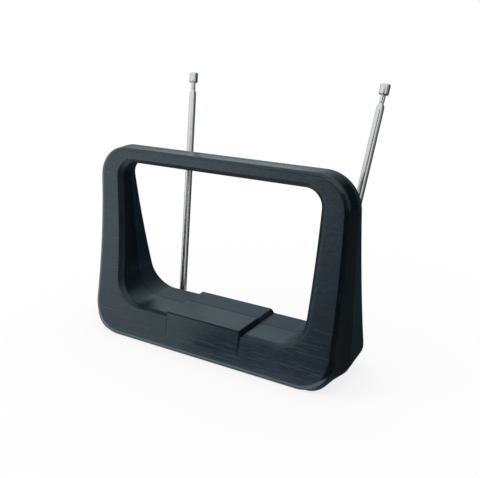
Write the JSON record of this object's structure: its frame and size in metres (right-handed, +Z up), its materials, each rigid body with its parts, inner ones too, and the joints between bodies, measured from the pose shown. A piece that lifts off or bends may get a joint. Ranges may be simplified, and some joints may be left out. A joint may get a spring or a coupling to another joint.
{
  "type": "indoor television antenna",
  "caption": "Free-standing loop frame with a wide window, thin at the top and deep at the base, with telescopic rods behind it that swivel, fold and pull out.",
  "frame": {"origin": "middle of the base, on the surface that the foot mat stands on", "axes": "+X to the right along the frame, +Y to the back where the rods are, +Z up"},
  "size_m": [0.216, 0.1256, 0.1986],
  "materials": {
    "plate": "satin, fine horizontal grain",
    "shell": "satin",
    "mat": "matt",
    "steel": "zinc plated",
    "loop": "bright",
    "board": "lacquered",
    "ferrite": "sintered",
    "copper": "enamelled",
    "capacitor": "lacquered",
    "nickel": "nickel plated",
    "insulator": "moulded",
    "brass": "tinned",
    "washer": "nylon",
    "lead": "sleeved",
    "chrome": "polished"
  },
  "bodies": {
    "frame": {"front_bezel": "plate", "front_housing": "shell", "rear_housing": "shell", "base_mat": "mat", "ballast_plate": "steel", "housing_screws": "steel", "uhf_loop": "loop", "circuit_board": "board", "board_screws": "steel", "balun_core": "ferrite", "balun_winding": "copper", "capacitors": "capacitor", "coax_socket": "nickel", "socket_insulator": "insulator", "socket_contact": "brass", "socket_washer": "nickel", "socket_nut": "nickel", "left_swivel_washer": "washer", "left_contact_lug": "brass", "left_rod_lead": "lead", "right_swivel_washer": "washer", "right_contact_lug": "brass", "right_rod_lead": "lead"},
    "left_swivel": {"left_swivel": "chrome", "left_spring_washer": "steel", "left_swivel_nut": "steel", "left_pivot_pin": "steel"},
    "left_rod": {"left_rod_knuckle": "chrome", "left_rod_tube": "chrome"},
    "left_middle": {"left_middle_tube": "chrome"},
    "left_inner": {"left_inner_tube": "chrome"},
    "left_tip": {"left_tip_rod": "chrome", "left_tip_cap": "chrome"},
    "right_swivel": {"right_swivel": "chrome", "right_spring_washer": "steel", "right_swivel_nut": "steel", "right_pivot_pin": "steel"},
    "right_rod": {"right_rod_knuckle": "chrome", "right_rod_tube": "chrome"},
    "right_middle": {"right_middle_tube": "chrome"},
    "right_inner": {"right_inner_tube": "chrome"},
    "right_tip": {"right_tip_rod": "chrome", "right_tip_cap": "chrome"}
  },
  "joints": [
    {"name": "left_rod_swivel", "type": "hinge", "parent": "frame", "child": "left_swivel", "pos_m": [-0.07002, 0.04546, 0.0109], "axis": [0, -1, 0], "range_deg": [-5.26, 84.74]},
    {"name": "left_rod_fold", "type": "hinge", "parent": "left_swivel", "child": "left_rod", "pos_m": [-0.07002, 0.04546, 0.0109], "axis": [-0.9958, 0, -0.0917], "range_deg": [-14.14, 75.86]},
    {"name": "left_middle_slide", "type": "slide", "parent": "left_rod", "child": "left_middle", "axis": [-0.0889, 0.2443, 0.9656], "range_m": [0, 0.14]},
    {"name": "left_inner_slide", "type": "slide", "parent": "left_middle", "child": "left_inner", "axis": [-0.0889, 0.2443, 0.9656], "range_m": [0, 0.14]},
    {"name": "left_tip_slide", "type": "slide", "parent": "left_inner", "child": "left_tip", "axis": [-0.0889, 0.2443, 0.9656], "range_m": [0, 0.14]},
    {"name": "right_rod_swivel", "type": "hinge", "parent": "frame", "child": "right_swivel", "pos_m": [0.07002, 0.04546, 0.0109], "axis": [0, 1, 0], "range_deg": [-5.26, 84.74]},
    {"name": "right_rod_fold", "type": "hinge", "parent": "right_swivel", "child": "right_rod", "pos_m": [0.07002, 0.04546, 0.0109], "axis": [-0.9958, 0, 0.0917], "range_deg": [-14.14, 75.86]},
    {"name": "right_middle_slide", "type": "slide", "parent": "right_rod", "child": "right_middle", "axis": [0.0889, 0.2443, 0.9656], "range_m": [0, 0.14]},
    {"name": "right_inner_slide", "type": "slide", "parent": "right_middle", "child": "right_inner", "axis": [0.0889, 0.2443, 0.9656], "range_m": [0, 0.14]},
    {"name": "right_tip_slide", "type": "slide", "parent": "right_inner", "child": "right_tip", "axis": [0.0889, 0.2443, 0.9656], "range_m": [0, 0.14]}
  ]
}
